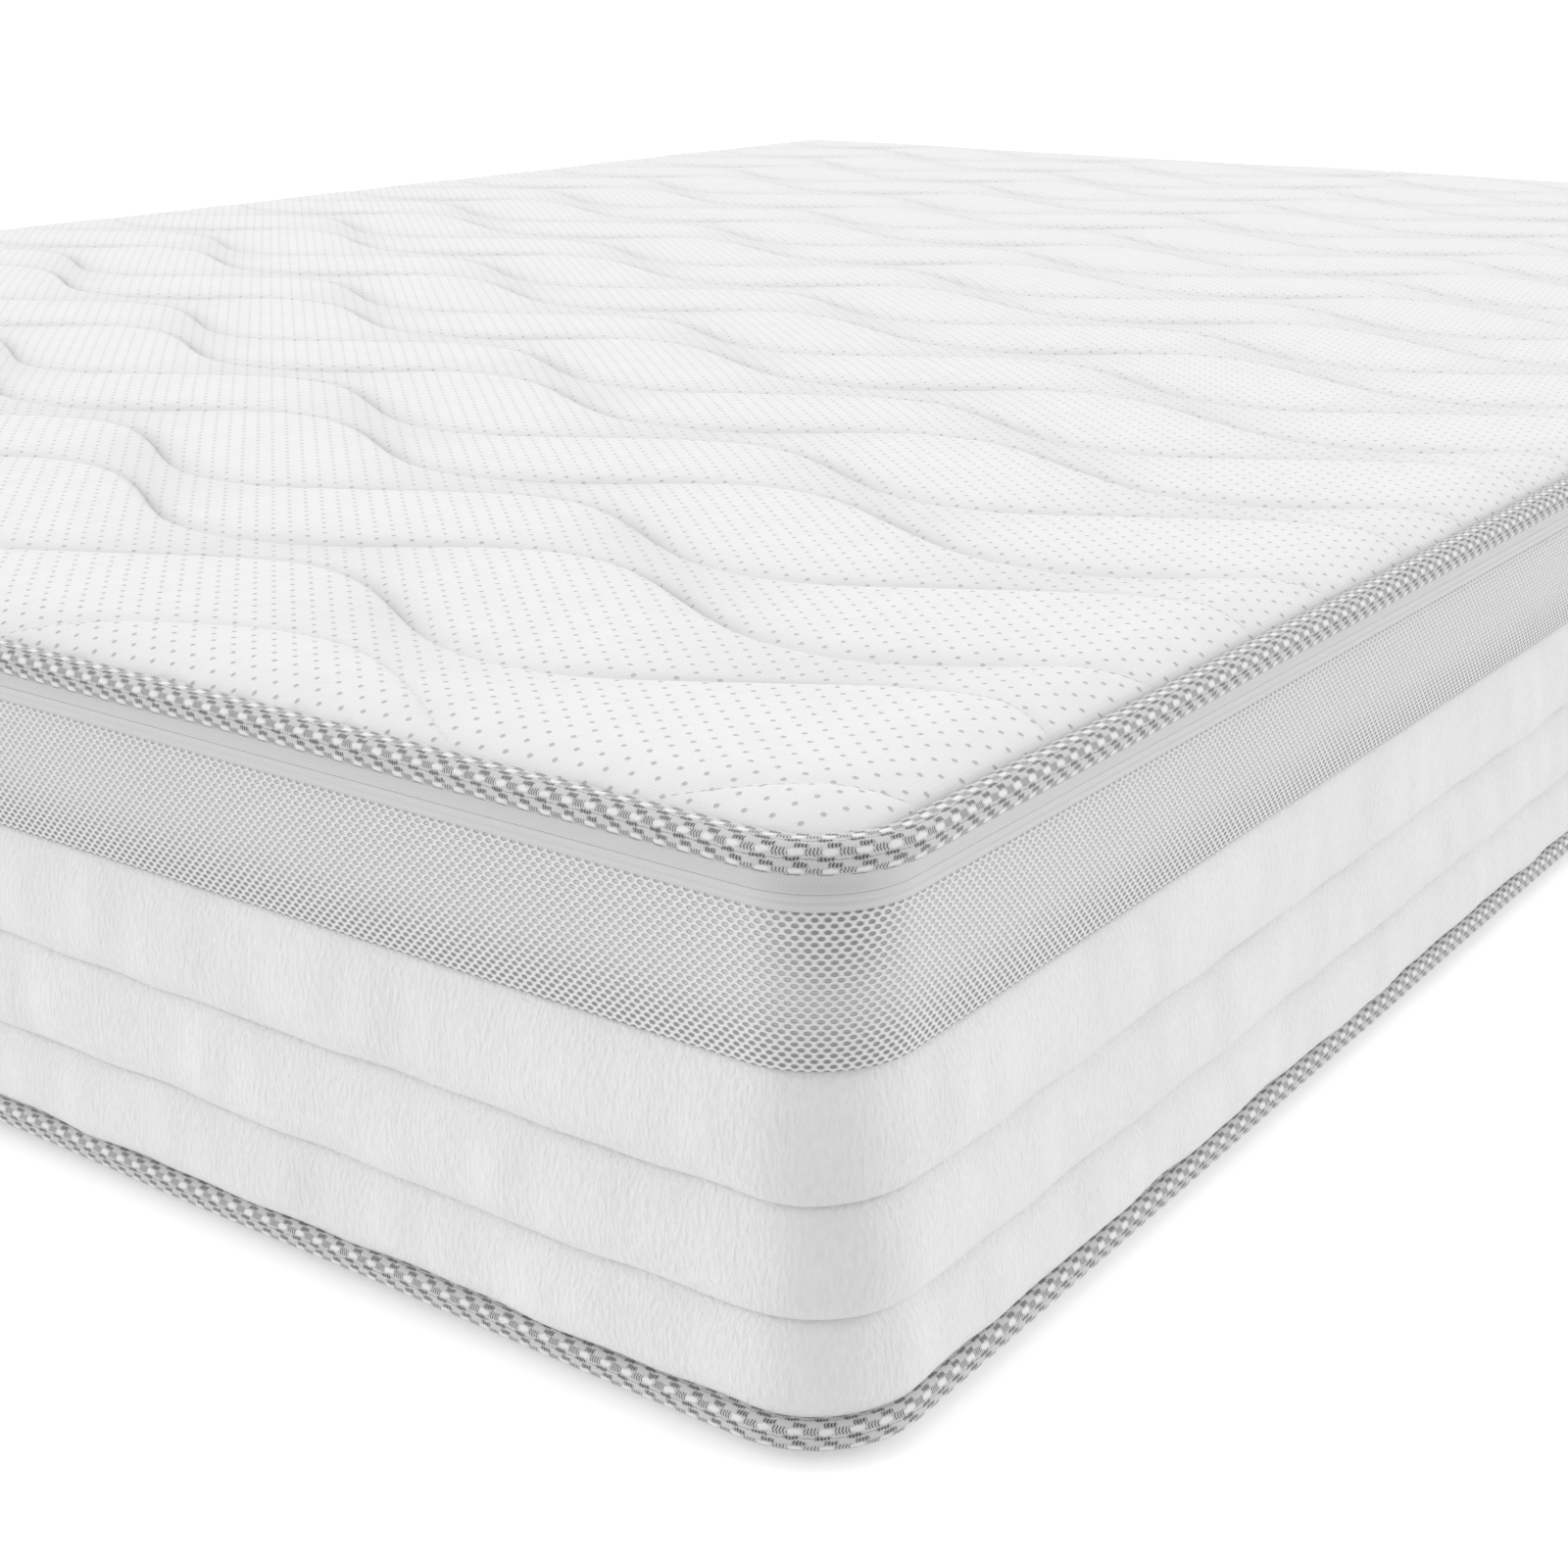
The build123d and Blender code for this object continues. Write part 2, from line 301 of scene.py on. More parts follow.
def patch(tree, cell, centre, half, soft):
    """Soft rectangle in a repeat, that may run over the repeat's end along the tape."""
    away = add(tree, "VectorMath", {0: cell, 1: (*centre, 0)}, operation="SUBTRACT")
    split = add(tree, "SeparateXYZ", {0: away}, out="X")
    along = add(tree, "Math", {0: split, 1: 0.5, 2: -0.5}, operation="WRAP")
    across = split.node.outputs["Y"]
    masks = []
    for value, reach, blur in ((along, half[0], soft[0]), (across, half[1], soft[1])):
        size = add(tree, "Math", {0: value}, operation="ABSOLUTE")
        ends = {0: size, 1: reach - blur, 2: reach + blur, 3: 1.0, 4: 0.0}
        masks.append(add(tree, "MapRange", ends, interpolation_type="SMOOTHSTEP"))
    return add(tree, "Math", {0: masks[0], 1: masks[1]}, operation="MULTIPLY")


def jacquard_look(tree):
    # Three rows make one repeat across the webbing: dark floats, dark floats set half a
    # repeat on, and white floats with grey ones between. Single yarns show as leaning
    # strokes, which turn back at every third pick
    cell = repeats(tree, TAPE_REPEAT, (0, 0.35), 1.1 * MM)
    strokes = repeats(tree, (whole(STROKE), 1.87 * MM), (0, 0), 0.25 * MM)
    run = add(tree, "SeparateXYZ", {0: strokes}, out="X")
    turned = add(tree, "Math", {0: run.node.outputs["Y"], 1: 0.5}, operation="PINGPONG")
    drawn = add(tree, "Math", {0: turned, 1: 0.9, 2: run}, operation="MULTIPLY_ADD")
    beside = add(tree, "Math", {0: drawn, 1: 0.5, 2: -0.5}, operation="WRAP")
    gap = add(tree, "Math", {0: beside}, operation="ABSOLUTE")
    ends = {0: gap, 1: 0.17, 2: 0.30, 3: 1.0, 4: 0.0}
    wave = add(tree, "MapRange", ends, interpolation_type="SMOOTHSTEP")
    soft = (0.05, 0.05)
    first = patch(tree, cell, (0.24, 0.86), (0.24, 0.10), soft)
    second = patch(tree, cell, (0.51, 0.56), (0.22, 0.12), soft)
    white = spot(tree, cell, (0.36, 0.21), (0.27, 0.18), 0.35)
    third = patch(tree, cell, (0.88, 0.21), (0.24, 0.19), soft)
    line = patch(tree, cell, (0.5, 0.86), (0.6, 0.02), (0.01, 0.02))
    floats = add(tree, "Math", {0: first, 1: second}, operation="MAXIMUM")
    yarn = add(tree, "MapRange", {0: wave, 3: 0.42, 4: 1.0})
    dark = add(tree, "Math", {0: floats, 1: yarn}, operation="MULTIPLY")
    mid = add(tree, "Math", {0: third, 1: wave}, operation="MULTIPLY")
    ground = add(tree, "Mix", {0: white, 6: linear("cbcbcb"), 7: linear("e8e8e8")}, data_type="RGBA")
    grey = add(tree, "Mix", {0: mid, 6: ground, 7: linear("727272")}, data_type="RGBA")
    lined = add(tree, "Mix", {0: line, 6: grey, 7: linear("8a8a8a")}, data_type="RGBA")
    colour = add(tree, "Mix", {0: dark, 6: lined, 7: linear("484848")}, data_type="RGBA")
    raised = add(tree, "Math", {0: white, 1: 0.30 * MM}, operation="MULTIPLY")
    sunk = add(tree, "Math", {0: dark, 1: -0.22 * MM, 2: raised}, operation="MULTIPLY_ADD")
    height = add(tree, "Math", {0: mid, 1: -0.15 * MM, 2: sunk}, operation="MULTIPLY_ADD")
    return colour, height


# Filament polyester, a little brighter than cotton where the floats turn to the light
jacquard = finish("jacquard_edge_tape", jacquard_look, Roughness=0.7, Sheen_Weight=0.2)


def tape_section(node, seed):
    """Rolled section of an edge tape, filling its CAD ring, with the slight waver of sewing."""
    low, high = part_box(node)
    outer = HALF_X - high.x
    middle, half = (outer + TAPE_INNER) / 2, (TAPE_INNER - outer) / 2
    level, tall = (low.z + high.z) / 2, (high.z - low.z) / 2
    angle = -TURN * np.arange(36)[None, :] / 36

    def section(share):
        waver = ripple(share, seed, (7, 13, 29, 41), 0.35 * MM)
        swell = 1 + ripple(share, seed + 1, (17, 37, 61), 0.02)
        c, s = np.cos(angle), np.sin(angle)
        power = 0.8
        depth = middle + half * np.sign(c) * np.abs(c) ** power * swell
        return depth, level + waver + tall * np.sign(s) * np.abs(s) ** power

    return section


lower_tape = ring("lower_edge_tape", 3 * MM, tape_section("bottom_tape", 11), jacquard)
place(lower_tape, "base", "edge_tape", "bottom_tape")

# --- Border backing and wadding ---------------------------------------------------------
# A spunbonded web carries the border on its inner side. Loose polyester fibre lies on it
# behind the velour, and a thinner layer runs on behind the mesh.


def spunbond_look(tree):
    # The web is bonded by a hot roller with small oval points, 3 mm apart
    first = spot(tree, repeats(tree, (3 * MM, 4 * MM)), (0.5, 0.5), (0.13, 0.16), 0.3)
    other = spot(tree, repeats(tree, (3 * MM, 4 * MM), (0.5, 0.5)), (0.5, 0.5), (0.13, 0.16), 0.3)
    bonds = add(tree, "Math", {0: first, 1: other}, operation="MAXIMUM")
    fibres = grain(tree, 0.6 * MM, (1, 0.3, 0.6))
    depth = add(tree, "Math", {0: bonds, 1: -0.1 * MM}, operation="MULTIPLY")
    rough = add(tree, "Math", {0: fibres, 1: 0.1 * MM, 2: depth}, operation="MULTIPLY_ADD")
    colour = add(tree, "Mix", {0: bonds, 6: linear("ececea"), 7: linear("dcdcda")}, data_type="RGBA")
    return colour, rough


def fibre_look(tree):
    strands = grain(tree, 1.5 * MM, (1, 0.35, 0.7), 6.0)
    height = add(tree, "Math", {0: strands, 1: 0.6 * MM}, operation="MULTIPLY")
    colour = add(tree, "Mix", {0: strands, 6: linear("dfdfdf"), 7: linear("fafafa")}, data_type="RGBA")
    return colour, height


# Bonded polypropylene web and carded polyester fibre: both matt, the fibre fluffy
spunbond = finish("spunbonded_backing", spunbond_look, Roughness=0.75)
carded_fibre = finish("carded_fibre_wadding", fibre_look, Roughness=0.95, Sheen_Weight=0.3)


def strip_section(node, front, back, rows=12, seed=0):
    """Upright strip of a CAD ring's height between two depths, slightly uneven."""
    low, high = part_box(node)
    up = np.linspace(low.z, high.z, rows)[None, :]
    height = np.concatenate([up, up[:, ::-1]], 1)
    depth = np.concatenate([np.full((1, rows), front), np.full((1, rows), back)], 1)

    def section(share):
        waver = ripple(share, seed, (9, 23, 47), 0.15 * MM)
        return depth + waver, height + 0 * share

    return section


backing_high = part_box("border_backing")[1]
BACKING_BACK = HALF_X - backing_high.x + 0.6 * MM
backing_face = BACKING_BACK - 0.6 * MM
backing_strip = strip_section("border_backing", backing_face, BACKING_BACK, seed=21)
border_back = ring("border_backing_web", 10 * MM, backing_strip, spunbond)
place(border_back, "base", "nonwoven", "border_backing")

# The channels' heights come from the velour and from the two sewn seams between them
velour_low, velour_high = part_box("border_velour")
thread_low, thread_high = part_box("seam_threads")
THREAD = 0.6 * MM
SEAMS = (velour_low.z, thread_low.z + THREAD / 2, thread_high.z - THREAD / 2, velour_high.z)
SEAM_DEPTH, BULGE_DEPTH = 3.2 * MM, HALF_X - velour_high.x
SAG = 0.66


def seam_depth(share):
    """The sewn seams pull in harder round the corners."""
    return SEAM_DEPTH + 1.2 * MM * tightness(share)


def seam_wave(share, seam):
    """How far a seam strays up and down from level; the seams are numbered from the floor."""
    return ripple(share, 51 + seam, (23, 61, 97, 149), 0.6 * MM)


def channels(share, offset, rows=16):
    """Depths and heights up the outer face of the three channels, moved in by an offset.
    Each one sags, so that it bulges most below its middle, and is gathered unevenly."""
    depths, heights = [], []
    for number, (low, high) in enumerate(zip(SEAMS, SEAMS[1:])):
        t = (1 - np.cos(np.linspace(0, math.pi, rows)))[None, :] / 2
        full = np.sin(math.pi * t**SAG) ** 0.45
        slow = ripple(share, 31 + number, (19, 31, 43, 57, 83), 1.1 * MM)
        quick = ripple(share, 41 + number, (110, 151, 187, 243, 301), 0.5 * MM)
        below, above = seam_wave(share, number), seam_wave(share, number + 1)
        if number == 0:
            below = 1.3 * below - 0.4 * MM
        if number == 2:
            above = 0 * share
        gather = quick * np.exp(-((t - 0.5) ** 2) / 0.1 * 0.6)
        sewn = seam_depth(share)
        bulge = sewn + (BULGE_DEPTH - sewn) * full * (1 - 0.2 * tightness(share))
        depths.append(bulge + offset + slow * full + gather * full)
        heights.append(low + (high - low) * t + below * (1 - t) + above * t)
    return np.concatenate(depths, 1), np.concatenate(heights, 1)


VELOUR_THICK = 1.2 * MM


def wadding_section(share):
    """Fibre behind the velour, out to the backing, with the thin layer behind the mesh."""
    depth, height = channels(share, VELOUR_THICK + 0.1 * MM, 8)
    wadding_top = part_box("border_wadding")[1].z
    back = backing_face - 0.05 * MM
    extra = ((4.1 * MM, SEAMS[3] + 0.1 * MM), (4.1 * MM, wadding_top), (back, wadding_top))
    extra += ((back, SEAMS[3]), (back, SEAMS[1]), (back, SEAMS[0]))
    tail_d = np.array([[d for d, _ in extra]]) + 0 * share
    tail_z = np.array([[z for _, z in extra]]) + 0 * share
    return np.concatenate([depth, tail_d], 1), np.concatenate([height, tail_z], 1)


border_fill = ring("border_fibre", 12 * MM, wadding_section, carded_fibre)
place(border_fill, "base", "fibre_wadding", "border_wadding")

# --- Velour border ----------------------------------------------------------------------
# White brushed velour, sewn through the wadding in two level seams, so that it puffs out in
# three soft channels. The short pile stands up and down the border.


def velour_look(tree):
    # Pile tufts of 0.7 mm, combed upright, with slow patches where the pile leans
    pile = grain(tree, 0.7 * MM, (1, 1, 0.35), 4.0)
    lean = grain(tree, 14 * MM, (1, 1, 0.6), 3.0)
    mixed = add(tree, "Math", {0: lean, 1: 0.5, 2: 0.05}, operation="MULTIPLY_ADD")
    factor = add(tree, "Math", {0: pile, 1: 0.6, 2: mixed}, operation="MULTIPLY_ADD")
    height = add(tree, "Math", {0: pile, 1: 0.6 * MM}, operation="MULTIPLY")
    colour = add(tree, "Mix", {0: factor, 6: linear("d8d8d8"), 7: linear("f4f4f4")}, data_type="RGBA")
    return colour, height


# Brushed polyester pile: no gloss, and a soft bright rim where it is seen side on
velour = finish("brushed_velour", velour_look, Roughness=0.95, Sheen_Weight=0.35, Sheen_Roughness=0.5)


def velour_section(share):
    out_d, out_z = channels(share, 0.0)
    in_d, in_z = channels(share, VELOUR_THICK)
    return np.concatenate([out_d, in_d[:, ::-1]], 1), np.concatenate([out_z, in_z[:, ::-1]], 1)


velour_border = ring("velour_border", 3.5 * MM, velour_section, velour, 75)
place(velour_border, "base", "velour_white", "border_velour")

# --- Border quilting thread -------------------------------------------------------------
# Two rows of polyester thread, lockstitched along the border at 4 mm a stitch, which pull
# the velour down to the backing.


def thread_look(tree):
    # Two-ply twist: a fine slanting ridge every 0.5 mm
    plies = repeats(tree, (0.5 * MM, 1.5 * MM))
    ridge = spot(tree, plies, (0.5, 0.5), (0.35, 2.0), 0.5)
    height = add(tree, "Math", {0: ridge, 1: 0.05 * MM}, operation="MULTIPLY")
    # Painted shade: darker between the ridges of the plies
    colour = add(tree, "Mix", {0: ridge, 6: linear("d5d5d5"), 7: linear("f2f2f2")}, data_type="RGBA")
    return colour, height


# Spun polyester with a little lustre
sewing_thread = finish("white_sewing_thread", thread_look, Roughness=0.5)
STITCH = whole(4 * MM)


def stitch_section(number):
    """Thin round thread in seam 1 or 2 of the border, dipping into the cloth at each stitch."""

    def section(share):
        dip = 0.45 * MM * np.cos(TURN * share * GIRTH / STITCH)
        angle = TURN * np.arange(5)[None, :] / 5
        depth = seam_depth(share) - 0.1 * MM + dip - THREAD / 3 * np.cos(angle)
        height = SEAMS[number] + seam_wave(share, number) + THREAD / 3 * np.sin(angle)
        return depth, height

    return section


threads = [ring(f"border_thread_{n}", STITCH / 4, stitch_section(n), sewing_thread) for n in (1, 2)]
for thread in threads:
    place(thread, "base", "thread_white", "seam_threads")

# --- Mesh border ------------------------------------------------------------------------
# A band of 3-D spacer fabric lets air out of the foam. Its face is warp-knitted with oval
# holes in staggered rows, over a 4 mm layer of springy pile yarn.

HOLE_PITCH = (whole(3.53 * MM), 3.48 * MM)


def spacer_look(tree):
    # Holes of 2.1 by 1.2 mm; two staggered sets in each repeat. Their grey is painted shade, darker
    # where the mesh is bent over at its lower seam, and at the top of each corner
    here = add(tree, "TexCoord", out="Object")
    level = add(tree, "SeparateXYZ", {0: here}, out="Z")
    low, high = mesh_low.z + 2 * MM, mesh_low.z + 26 * MM
    seam = add(tree, "MapRange", {0: level, 1: low, 2: high}, interpolation_type="SMOOTHSTEP")
    quarter = add(tree, "VectorMath", {0: here}, operation="ABSOLUTE")
    away = add(tree, "VectorMath", {0: quarter, 1: mesh_high}, operation="DISTANCE")
    close = {0: away, 1: 14 * MM, 2: 34 * MM}
    corner = add(tree, "MapRange", close, interpolation_type="SMOOTHSTEP")
    unshaded = add(tree, "Math", {0: seam, 1: corner}, operation="MULTIPLY")
    holes = []
    for shift in (0.0, 0.5):
        cell = repeats(tree, HOLE_PITCH, (shift, shift))
        holes.append(spot(tree, cell, (0.5, 0.5), (0.29, 0.16), 0.45))
    hole = add(tree, "Math", {0: holes[0], 1: holes[1]}, operation="MAXIMUM")
    yarn = grain(tree, 0.5 * MM)
    face = add(tree, "Mix", {0: yarn, 6: linear("d9d9d9"), 7: linear("eeeeee")}, data_type="RGBA")
    # Painted shade in the holes: darkest near the lower seam and the top corners
    hole_shade = add(tree, "Mix", {0: unshaded, 6: linear("8c8c8c"), 7: linear("c8c8c8")}, data_type="RGBA")
    colour = add(tree, "Mix", {0: hole, 6: face, 7: hole_shade}, data_type="RGBA")
    sunk = add(tree, "Math", {0: hole, 1: -0.5 * MM}, operation="MULTIPLY")
    return colour, add(tree, "Math", {0: yarn, 1: 0.1 * MM, 2: sunk}, operation="MULTIPLY_ADD")


# Polyester monofilament, pale grey: smoother than the velour's pile, so it shines a little
spacer_mesh = finish("knitted_spacer_mesh", spacer_look, Roughness=0.65, Sheen_Weight=0.1)


def mesh_section(share):
    """Gently domed face: it is held in at both seams and stands out between them."""
    rows = 22
    t = (1 - np.cos(np.linspace(0, math.pi, rows)))[None, :] / 2
    dome = np.sin(math.pi * t) ** 0.5
    puff = 1.0 + ripple(share, 61, (11, 27, 49, 71), 0.35)
    height = mesh_low.z + (mesh_high.z - mesh_low.z) * t + 0 * share
    tuck = np.exp(-(mesh_high.z - height) / (0.9 * MM))
    depth = 0.5 * MM - 1.0 * MM * dome * puff + 1.6 * MM * tuck
    back = 4.0 * MM + 0 * depth
    return np.concatenate([depth, back], 1), np.concatenate([height, height[:, ::-1]], 1)


spacer = ring("mesh_band", 4 * MM, mesh_section, spacer_mesh, 60)
place(spacer, "base", "mesh_grey", "mesh_border")

# --- Care label -------------------------------------------------------------------------
# A strip of woven satin ribbon, left blank, caught in the seam under the mesh at the head
# end. It hangs over the top channel and curls a little at its free corners.


def satin_look(tree):
    weft = repeats(tree, (0.7 * MM, 0.35 * MM))
    rib = spot(tree, weft, (0.5, 0.5), (0.9, 0.35), 0.5)
    height = add(tree, "Math", {0: rib, 1: 0.03 * MM}, operation="MULTIPLY")
    # Painted sheen on the ribs, with painted shade between them
    colour = add(tree, "Mix", {0: rib, 6: linear("e4e4e4"), 7: linear("f7f7f7")}, data_type="RGBA")
    return colour, height


# Satin weave: long floats give it a soft shine that the other cloths lack
satin = finish("woven_satin_ribbon", satin_look, Roughness=0.4, Sheen_Weight=0.1)
label_low, label_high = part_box("care_label")
LABEL_COLUMNS, LABEL_ROWS, LABEL_THICK = 23, 31, 0.35 * MM


def label_mesh():
    """Ribbon surface down from the seam, over the bulge, with a front and a back."""
    across = np.linspace(-0.5, 0.5, LABEL_COLUMNS)[None, :]
    down = np.linspace(0, 1, LABEL_ROWS)[:, None]
    x = (label_low.x + label_high.x) / 2 + across * (label_high.x - label_low.x) + 0 * down
    z = label_high.z - down * (label_high.z - label_low.z) + 0 * across
    start, hang = HALF_Y + 0.4 * MM, label_high.y + 1.0 * MM
    fall = 1 - np.exp(-down * 9)
    curl = 2.2 * MM * down**3 * (2 * np.abs(across)) ** 2.5
    wave = 0.4 * MM * np.sin(down * 7 + across * 5) * down
    y = start + (hang - start) * fall + curl + wave
    front = np.stack([x, y, z], -1).reshape(-1, 3)
    back = front - [0, LABEL_THICK, 0]
    a = np.arange(LABEL_ROWS - 1)[:, None] * LABEL_COLUMNS + np.arange(LABEL_COLUMNS - 1)
    a = a.reshape(-1)
    quads = np.stack([a, a + LABEL_COLUMNS, a + LABEL_COLUMNS + 1, a + 1], 1)
    faces = with_back(quads, len(front))
    points = np.concatenate([front, back])
    return piece("care_label_ribbon", points, faces, points[faces][:, :, ::2], satin)


label = place(label_mesh(), "base", "label_satin", "care_label")

# --- Foam core --------------------------------------------------------------------------
# Three slabs cut from blown polyurethane and glued together: firm pale support foam, a
# softer white layer, and slow cream memory foam on top.


def foam_finish(name, dark, light, cell):
    """Open-cell foam with cut cells of about that size."""

    def look(tree):
        here = add(tree, "TexCoord", out="Object")
        cells = add(tree, "TexVoronoi", {"Vector": here, "Scale": 1 / cell})
        depth = add(tree, "Math", {0: cells, 1: -0.3 * cell}, operation="MULTIPLY")
        # Painted shade: the sunk rims of the cells are darker
        colour = add(tree, "Mix", {0: cells, 6: linear(light), 7: linear(dark)}, data_type="RGBA")
        return colour, depth

    return finish(name, look, Roughness=0.95)


# Cell sizes of real foams are 0.5 to 1.5 mm; the memory foam's are the finest
foams = {
    "base_foam": foam_finish("support_foam", "c3c8d2", "dfe3ea", 1.4 * MM),
    "comfort_foam": foam_finish("comfort_foam", "dcdcd8", "f0f0ed", 1.1 * MM),
    "memory_foam": foam_finish("memory_foam", "d8cba6", "efe6c9", 0.8 * MM),
}
SLEEVE_IN = HALF_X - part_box("inner_sleeve")[1].x


def foam_slab(node):
    """Slab that fills its CAD solid, with slightly eased edges."""
    low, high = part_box(node)
    rim = HALF_X - high.x

    def top(x, y, room):
        return high.z - 0.05 * MM - 1.5 * MM * np.exp(-room / (5 * MM))

    def bottom(x, y, room):
        return low.z + 0.05 * MM + 0.8 * MM * np.exp(-room / (3 * MM))

    return panel(f"{node}_slab", *grid(25 * MM), rim, top, bottom, foams[node])


FOAM_SLOTS = {"base_foam": "foam_base", "comfort_foam": "foam_comfort", "memory_foam": "foam_memory"}
for node, slot in FOAM_SLOTS.items():
    slab = place(foam_slab(node), "base", slot, node)

# --- Inner sleeve -----------------------------------------------------------------------
# Tubular cotton-polyester stockinette, pulled over the whole core and sewn shut. It keeps
# the foam clean and lets the outer cover slide on and off.


def stockinette_look(tree):
    # Knit ribs 2.4 mm apart: each rib is a column of leaning loops
    rows = repeats(tree, (2.4 * MM, 1.8 * MM))
    left = spot(tree, rows, (0.34, 0.45), (0.2, 0.42), 0.6)
    right = spot(tree, rows, (0.68, 0.55), (0.2, 0.42), 0.6)
    loops = add(tree, "Math", {0: left, 1: right}, operation="MAXIMUM")
    height = add(tree, "Math", {0: loops, 1: 0.3 * MM}, operation="MULTIPLY")
    # Painted shade: darker between the loops
    colour = add(tree, "Mix", {0: loops, 6: linear("d9d9d5"), 7: linear("f4f4f1")}, data_type="RGBA")
    return colour, height


# Soft cotton-rich knit, matt, with the foam's cream just warming it
stockinette = finish("stockinette_sleeve", stockinette_look, Roughness=0.9, Sheen_Weight=0.2)
sleeve_low, sleeve_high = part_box("inner_sleeve")
SLEEVE_EASE = 1.2 * MM


def sleeve_top(x, y, room):
    """Stretched flat over the foam, with faint pulls that fan out from the corners."""
    corner = np.exp(-np.hypot(HALF_X - np.abs(x), HALF_Y - np.abs(y)) / (160 * MM))
    fan = np.sin(14 * np.arctan2(HALF_Y - np.abs(y), HALF_X - np.abs(x))) * corner
    round_off = np.sqrt(np.clip(1 - (1 - np.minimum(room / SLEEVE_EASE, 1)) ** 2, 0, 1))
    return sleeve_high.z - 0.3 * MM + 0.3 * MM * fan - SLEEVE_EASE * (1 - round_off)


def sleeve_bottom(x, y, room):
    return sleeve_low.z + 1 * MM * np.exp(-room / (2 * MM))


sleeve = panel(
    "stockinette_sleeve", *grid(8 * MM), SLEEVE_IN, sleeve_top, sleeve_bottom, stockinette, 70
)
place(sleeve, "base", "stockinette", "inner_sleeve")

# --- Lower half of the zip --------------------------------------------------------------
# A white nylon coil zip runs round the mattress, set in with its coil on the inside. The
# lower woven tape is folded over its half of the coil and sewn behind the mesh.


def zip_tape_look(tree):
    # Herringbone in 0.6 mm threads: too fine to show far off, so it is drawn at 1.2 mm
    threads = repeats(tree, (1.2 * MM, 2.4 * MM))
    up = spot(tree, threads, (0.3, 0.3), (0.35, 0.22), 0.6)
    down = spot(tree, threads, (0.7, 0.8), (0.35, 0.22), 0.6)
    rib = add(tree, "Math", {0: up, 1: down}, operation="MAXIMUM")
    height = add(tree, "Math", {0: rib, 1: 0.02 * MM}, operation="MULTIPLY")
    # Painted shade, faint, between the ribs
    colour = add(tree, "Mix", {0: rib, 6: linear("d0d0d0"), 7: linear("d6d6d6")}, data_type="RGBA")
    return colour, height


def coil_look(tree):
    # One turn of the coil every 1.6 mm, seen as bright ridges with shadow between
    turns = repeats(tree, (whole(1.6 * MM), 40 * MM))
    ridge = spot(tree, turns, (0.5, 0.5), (0.42, 40.0), 0.5)
    height = add(tree, "Math", {0: ridge, 1: 0.4 * MM}, operation="MULTIPLY")
    colour = add(tree, "Mix", {0: ridge, 6: linear("a9a9a9"), 7: linear("f1f1f1")}, data_type="RGBA")
    return colour, height


# Dyed polyester tape, smoother than the velour; nylon monofilament with a clean shine
zip_tape = finish("woven_zip_tape", zip_tape_look, Roughness=0.5, Sheen_Weight=0.1)
nylon_coil = finish("nylon_zip_coil", coil_look, Roughness=0.3, IOR=1.53)


def soft_box(front, back, low, high, easing):
    """Closed line round a strip's section with rounded corners. It ends at the foot of the
    front face, so that more points can follow up that face."""
    turn = np.linspace(0, TURN / 4, 6)
    line = []
    for depth, height, quarter in ((front, high, 1), (back, high, 0), (back, low, 3), (front, low, 2)):
        x = depth + math.copysign(easing, back + front - 2 * depth)
        z = height + math.copysign(easing, low + high - 2 * height)
        angle = (quarter + 1) * TURN / 4 - turn
        line += list(zip(x + easing * np.cos(angle), z + easing * np.sin(angle)))
    return np.array(line).T[:, None, :]


lower_low, lower_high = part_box("zip_tape_lower")
upper_low, upper_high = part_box("zip_tape_upper")
ZIP_BACK = 4.6 * MM


def fold_section(low, high, easing, swell, creases, seed):
    """Folded tape between two heights: it swells out softly by that much between its edges,
    with shallow creases where it is sewn and pressed."""
    front = HALF_X - lower_high.x
    depth, height = soft_box(front, ZIP_BACK, low, high, easing)
    rise = np.linspace(low + easing, high - easing, 30)[None, 1:-1]
    share_up = (rise - low - easing) / (high - low - 2 * easing)
    face = front - swell * np.sin(math.pi * share_up)
    for crease in creases:
        face = face + 0.7 * MM * np.exp(-(((rise - crease) / (0.7 * MM)) ** 2))
    depth = np.concatenate([depth, face], 1)
    height = np.concatenate([height, rise], 1)

    def section(share):
        waver = ripple(share, seed, (13, 29, 53, 89), 0.12 * MM)
        return depth + waver, height + 0 * share

    return section


def plain_section(front, back, low, high, easing):
    """Even strip between two depths and two heights."""
    depth, height = soft_box(front, back, low, high, easing)

    def section(share):
        return depth + 0 * share, height + 0 * share

    return section


# The two folds are pressed together, so they meet in the middle of the gap between them
MEETING = (lower_high.z + upper_low.z) / 2
sewn_at = (mesh_high.z + 0.55 * (MEETING - mesh_high.z),)
lower_fold = fold_section(mesh_high.z - 0.6 * MM, MEETING, 0.5 * MM, 0.7 * MM, sewn_at, 71)
place(ring("lower_zip_tape", 5 * MM, lower_fold, zip_tape), "base", "zip_white", "zip_tape_lower")
lower_tail = plain_section(4.05 * MM, ZIP_BACK, lower_low.z, mesh_high.z, 0.2 * MM)
place(ring("lower_zip_tail", 10 * MM, lower_tail, zip_tape), "base", "zip_white", "zip_tape_lower")


def coil_ring(name, node, body):
    """Half of the coil, as a slim ring whose ridges are its turns."""
    low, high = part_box(node)
    front = HALF_X - high.x
    section = plain_section(front, front + 1.6 * MM, low.z, high.z, 0.75 * MM)
    return place(ring(name, 4 * MM, section, nylon_coil), body, "zip_coil", node)


coil_ring("lower_zip_coil", "zip_coil_lower", "base")

# --- Zip slider, pull and stops ---------------------------------------------------------
# The slider, its hanging pull tab and the two end stops are die-cast zinc, coated white to
# match the tape. They keep their CAD shapes.


